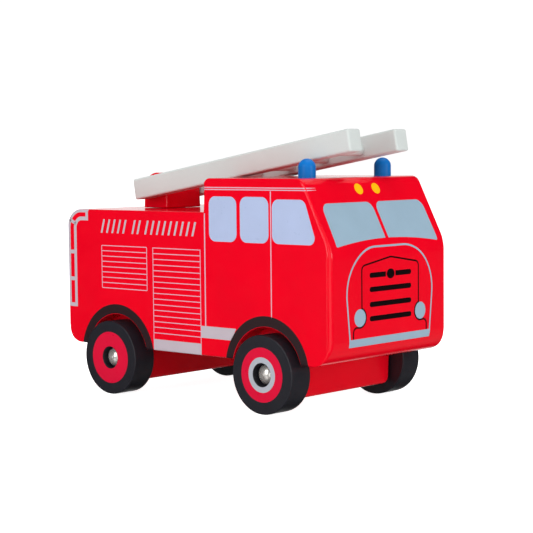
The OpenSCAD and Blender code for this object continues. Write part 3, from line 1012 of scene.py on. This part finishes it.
def print_side_dashes(side):
    """Rows of plain slanted dashes along the upper side."""
    low, high, stroke, lean = DASH_LOW, DASH_HIGH, DASH_STROKE, DASH_LEAN
    shapes = []
    for start, end, count in DASH_ROWS:
        for middle in steps(start, end, (end - start) / (count - 1)):
            x = middle - lean / 2
            shapes.append([(x, low), (x + stroke, low), (x + stroke + lean, high), (x + lean, high)])
    ink_film(f"{side}_dashes", shapes, side_ray(side), "silver_ink")


def print_front_outlines():
    """The arch drawn round the grille, the bumper and the two headlights."""
    half = [ARCH_FOOT] + arc(ARCH_TOP_MIDDLE, ARCH_TOP_R, ARCH_TOP_START, 90, 40)
    path = half + mirrored(reversed(half))
    arch_cuts = steps(88, 98, 1.0)
    ink_film("grille_arch_print", ribbon(path, ARCH_LINE), front_ray, "grey_blue_ink", v_cuts=arch_cuts)
    nose_cuts = steps(BUMPER[0][1], BOTTOM_Z + NOSE_R, 0.8)
    ink_film("bumper_print", [BUMPER], front_ray, "grey_blue_ink", v_cuts=nose_cuts)
    disc = ellipse(*HEADLIGHT, HEADLIGHT_R, HEADLIGHT_R, 60)
    ink_film("headlight_prints", [disc, mirrored(disc)], front_ray, "grey_blue_ink")


def print_radiator():
    """The black line round the radiator, which passes round each headlight and peaks at the top."""
    half = [(34.5, 44.6)] + arc((31.4, 48.0), 3.1, 0, 90, 10)
    half += arc(HEADLIGHT, HEADLIGHT_R + RADIATOR_LINE / 2, -90, -253, 40)
    half += [(26.75, 63.2)] + arc((23.6, 83.2), 3.15, 0, 82, 12)
    half += arc((0, 84.0), 6.0, 82, 98, 6)[:4]
    path = half + mirrored(reversed(half[:-1]))
    ink_film("radiator_line", ribbon(path, RADIATOR_LINE), front_ray, "black_ink")


def print_grille_bars():
    """Three full bars, a top bar in two halves and the plain round emblem between them."""
    bars = [
        rounded_rectangle(-BAR_END, BAR_END, z - BAR_HALF, z + BAR_HALF, BAR_R, BAR_R) for z in BAR_HEIGHTS
    ]
    low, high = TOP_BAR_HEIGHT - BAR_HALF, TOP_BAR_HEIGHT + BAR_HALF
    top_bar = rounded_rectangle(TOP_BAR_START, BAR_END, low, high, TOP_BAR_START_R, BAR_R)
    bars += [top_bar, mirrored(top_bar), ellipse(*EMBLEM)]
    ink_film("grille_bars", bars, front_ray, "black_ink")


def print_windscreen():
    """Two panes whose lower edge sags towards the sides."""
    inner_y, outer_y, inner_z = PANE_INNER_Y, PANE_OUTER_Y, PANE_INNER_LOW
    sag = (inner_z - PANE_OUTER_LOW) / outer_y ** 2
    pane = rounded_patch([
        (inner_y, inner_z, 0.6),
        (outer_y + 0.3, PANE_OUTER_LOW, 1.2),
        (outer_y - 0.5, PANE_TOP, 5.5),
        (inner_y, PANE_TOP, 5.0),
    ])
    lowest_outer = min(range(len(pane)), key=lambda i: pane[i][1] - 0.01 * pane[i][0])
    edge = [(y, inner_z - sag * y * y) for y in steps(inner_y + 1.5, outer_y - 2.0, 2.0)]
    inner_last = max(i for i in range(lowest_outer) if pane[i][0] < inner_y + 1.0)
    pane = pane[: inner_last + 1] + edge + pane[inner_last + 1:]
    shapes = [pane, mirrored(pane)]
    ink_film("windscreen_prints", shapes, front_ray, "grey_blue_ink", v_cuts=steps(97, 103, 0.75))


def print_roof_lamps():
    """Two yellow lamps above the windscreen."""
    lamp = ellipse(*ROOF_LAMP)
    ink_film("roof_lamp_prints", [lamp, mirrored(lamp)], front_ray, "yellow_ink")


# ------------ studio
CAMERA_AT = Vector((678.05, -732.59, 151.35))
CAMERA_AZIMUTH = 42.196
CAMERA_ELEVATION = 4.116
CAMERA_ROLL = -0.554
CAMERA_LENS = 107.64

# Brightness of the room: to the camera, as soft light on surfaces, and where reflections see no patch
BACKDROP = 1.02
SOFT_LIGHT = 0.58
ROOM = 0.005

# The floor: the tint it lights things with, the two tints and the glow that the camera sees, and its size
FLOOR_BOUNCE = (0.93, 0.93, 0.93)
FLOOR_TINTS = (0.90, 0.90, 0.90), (0.93, 0.93, 0.93)
FLOOR_GLOW = 0.92
FLOOR_REACH, FLOOR_CELLS = 6.0, 12

# Softboxes: name, way from the object, distance, width, height, power
SOFTBOXES = (
    ("side_key", (0.02, -1.0, 0.30), 1.3, 0.55, 0.9, 6.3),
    ("camera_fill", (0.72, -0.70, 0.45), 1.5, 0.30, 0.9, 2.2),
    ("front_fill", (1.0, 0.25, 0.50), 1.5, 0.7, 0.7, 2.0),
    ("low_front", (1.0, 0.15, 0.12), 1.5, 0.7, 0.3, 4.2),
    ("overhead", (0.1, 0.1, 1.0), 1.5, 1.2, 1.2, 9.0),
)
LIT_MIDDLE = Vector((0, 0, 0.08))

# Pale patches that reflections see: way, cosine where each starts, cosine where it is full, strength
MIRRORED = (
    ((-0.672, 0.741, 0.0), 0.79, 0.93, 0.94),
    ((0.42, 0.74, -0.52), 0.84, 0.97, 0.18),
    ((-0.50, -0.86, -0.07), 0.990, 0.998, 1.9),
    ((0.74, -0.67, -0.07), 0.89, 0.93, 1.3),
    ((0.0, -0.87, -0.50), 0.93, 0.98, 0.9),
)


def camera_axes():
    """Right, up and back of the camera."""
    a, e, roll = (math.radians(v) for v in (CAMERA_AZIMUTH, CAMERA_ELEVATION, CAMERA_ROLL))
    back = Vector((math.sin(a) * math.cos(e), -math.cos(a) * math.cos(e), math.sin(e)))
    right = (-back).cross(Vector((0, 0, 1))).normalized()
    up = right.cross(-back)
    return right * math.cos(roll) + up * math.sin(roll), up * math.cos(roll) - right * math.sin(roll), back


def add_camera():
    """The camera, at the place and angle that give the object its three-quarter view."""
    data = bpy.data.cameras.new("camera")
    data.lens = CAMERA_LENS
    data.sensor_width = 36.0
    data.clip_start, data.clip_end = 0.01, 50.0
    camera = bpy.data.objects.new("camera", data)
    turn = Matrix(camera_axes()).transposed().to_4x4()
    camera.matrix_world = Matrix.Translation(CAMERA_AT * MM) @ turn
    bpy.context.scene.collection.objects.link(camera)
    bpy.context.scene.camera = camera


def add_softbox(name, way, distance, width, height, power):
    """A rectangular soft light at a distance in a direction, facing the object's middle."""
    data = bpy.data.lights.new(name, "AREA")
    data.shape = "RECTANGLE"
    data.size, data.size_y = width, height
    data.energy = power
    light = bpy.data.objects.new(name, data)
    way = Vector(way).normalized()
    light.location = LIT_MIDDLE + way * distance
    light.rotation_mode = "QUATERNION"
    light.rotation_quaternion = way.to_track_quat("Z", "Y")
    light.visible_camera = False
    bpy.context.scene.collection.objects.link(light)


def add_floor():
    """A plain pale floor. It glows a little to the camera only, which keeps its shadows faint, and
    reflections don't see it."""
    s = Shader("floor")
    path = s.add("ShaderNodeLightPath").outputs["Is Camera Ray"]
    pale = s.mix(s.between(s.noise(3, 2.0), 0, 1), *FLOOR_TINTS)
    s.colour(s.mix(path, FLOOR_BOUNCE, pale))
    s.rough(s.between(s.noise(40, 2.0), 0.75, 0.85))
    s.set({"Specular IOR Level": 0.1, "Emission Color": (1, 1, 1, 1)})
    s.link(s.between(path, 0.0, FLOOR_GLOW, 0.0, 1.0), s.surface.inputs["Emission Strength"])
    row = FLOOR_CELLS + 1
    places = [FLOOR_REACH * (2 * i / FLOOR_CELLS - 1) for i in range(row)]
    vertices = [(x, y, 0) for x in places for y in places]
    corners = [i * row + j for i in range(FLOOR_CELLS) for j in range(FLOOR_CELLS)]
    faces = [(a, a + row, a + row + 1, a + 1) for a in corners]
    mesh = bpy.data.meshes.new("floor")
    mesh.from_pydata(vertices, [], faces)
    mesh.materials.append(s.material)
    floor = bpy.data.objects.new("floor", mesh)
    floor.visible_glossy = False
    bpy.context.scene.collection.objects.link(floor)


def feed(links, value, socket):
    """Sets a socket to a number, or links another socket to it."""
    if isinstance(value, float):
        socket.default_value = value
    else:
        links.new(value, socket)


def smooth_step(nodes, links, value, start, full, height):
    """Rises smoothly from 0 to height as a value goes from start to full, as a socket."""
    node = nodes.new("ShaderNodeMapRange")
    node.interpolation_type = "SMOOTHSTEP"
    for name, number in (("From Min", start), ("From Max", full), ("To Min", 0.0), ("To Max", height)):
        node.inputs[name].default_value = number
    links.new(value, node.inputs["Value"])
    return node.outputs["Result"]


def choose(nodes, links, factor, off, on):
    """One of two values by a factor, as a socket."""
    node = nodes.new("ShaderNodeMix")
    links.new(factor, node.inputs[0])
    feed(links, off, node.inputs[2])
    feed(links, on, node.inputs[3])
    return node.outputs[0]


def mirrored_room(nodes, links):
    """What reflections see, as a socket: a dark room with pale patches, which are a backdrop behind the
    object, the table, and reflectors round the camera."""
    coords = nodes.new("ShaderNodeTexCoord").outputs["Generated"]
    room = ROOM
    for way, start, full, strength in MIRRORED:
        facing = nodes.new("ShaderNodeVectorMath")
        facing.operation = "DOT_PRODUCT"
        facing.inputs[1].default_value = Vector(way).normalized()
        links.new(coords, facing.inputs[0])
        patch = smooth_step(nodes, links, facing.outputs["Value"], start, full, strength)
        total = nodes.new("ShaderNodeMath")
        total.operation = "ADD"
        links.new(patch, total.inputs[0])
        feed(links, room, total.inputs[1])
        room = total.outputs[0]
    return room


def add_world():
    """White to the camera, an even soft light on surfaces, and the mirrored room in reflections."""
    world = bpy.data.worlds.new("studio")
    bpy.context.scene.world = world
    world.use_nodes = True
    world.cycles.sampling_method = "NONE"
    nodes, links = world.node_tree.nodes, world.node_tree.links
    nodes.clear()
    path = nodes.new("ShaderNodeLightPath")
    strength = choose(nodes, links, path.outputs["Is Glossy Ray"], SOFT_LIGHT, mirrored_room(nodes, links))
    strength = choose(nodes, links, path.outputs["Is Camera Ray"], strength, BACKDROP)
    background = nodes.new("ShaderNodeBackground")
    background.inputs["Color"].default_value = (1, 1, 1, 1)
    output = nodes.new("ShaderNodeOutputWorld")
    links.new(strength, background.inputs["Strength"])
    links.new(background.outputs["Background"], output.inputs["Surface"])


def build_studio():
    """Floor, room, camera and softboxes, with colours shown as they are."""
    add_floor()
    add_world()
    add_camera()
    for softbox in SOFTBOXES:
        add_softbox(*softbox)
    view = bpy.context.scene.view_settings
    view.view_transform = "Standard"
    view.look = "None"


# ------------ assembly
dress_cad_nodes()
SURFACE = surface_tree(build_body())
build_axle_blocks()
build_post()
build_ladder()
for wheel in WHEELS:
    build_wheel(wheel)
    build_cap(wheel)
build_lights()
for side in SIDES:
    print_arch_bands(side)
    print_shutters(side)
    print_upright_lines(side)
    print_roof_stripes(side)
    print_side_windows(side)
    print_rear_pipes(side)
    print_side_dashes(side)
print_front_outlines()
print_radiator()
print_grille_bars()
print_windscreen()
print_roof_lamps()
build_studio()
